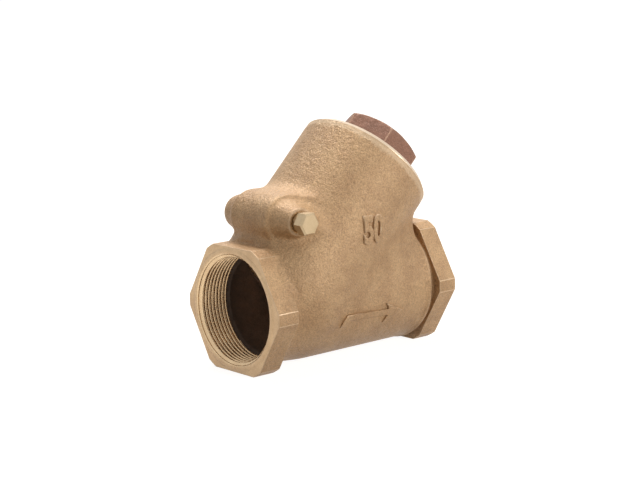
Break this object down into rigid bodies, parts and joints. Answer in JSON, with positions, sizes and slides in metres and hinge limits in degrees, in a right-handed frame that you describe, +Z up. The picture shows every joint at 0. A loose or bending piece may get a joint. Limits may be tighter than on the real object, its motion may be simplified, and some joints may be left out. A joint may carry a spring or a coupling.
{
  "type": "non-return valve",
  "caption": "Bronze swing check valve: straight run with threaded hexagon ends, a sloping neck with a screwed hexagon cap, and a hinged disc inside that lets flow pass one way.",
  "frame": {"origin": "on the floor that the lowest hexagon flats stand on, under the middle of the run, midway between the inlet and outlet faces", "axes": "+X along the flow from inlet to outlet, +Z up, -Y towards the plug of the hinge pin"},
  "size_m": [0.133, 0.0768, 0.1317],
  "materials": {
    "cast_bronze": "sand-cast and shot-blasted, matte",
    "cap_bronze": "cast, darker than the body, matte",
    "plug_brass": "turned, pale, satin",
    "turned_brass": "turned, satin",
    "pin_steel": "ground",
    "soft_disc": "smooth, matte"
  },
  "bodies": {
    "body": {"valve_body": "cast_bronze", "pin_plug": "plug_brass"},
    "cap": {"cap": "cap_bronze"},
    "pin": {"hinge_pin": "pin_steel"},
    "hanger": {"disc_hanger": "cast_bronze"},
    "disc": {"disc_holder": "turned_brass", "seat_disc": "soft_disc", "seat_disc_washer": "turned_brass", "seat_disc_nut": "turned_brass", "hanger_nut": "turned_brass"}
  },
  "joints": [
    {"name": "disc_swing", "type": "hinge", "parent": "body", "child": "hanger", "pos_m": [-0.0425, 0, 0.08173], "axis": [0, -1, 0], "range_deg": [0, 50]},
    {"name": "disc_spin", "type": "hinge", "parent": "hanger", "child": "disc", "pos_m": [-0.01456, 0, 0.05733], "axis": [0.7071, 0, 0.7071], "continuous": true},
    {"name": "pin_turn", "type": "hinge", "parent": "body", "child": "pin", "pos_m": [-0.0425, 0, 0.08173], "axis": [0, 1, 0], "continuous": true},
    {"name": "cap_lift", "type": "slide", "parent": "body", "child": "cap", "axis": [0.7071, 0, 0.7071], "range_m": [0, 0.045]}
  ]
}
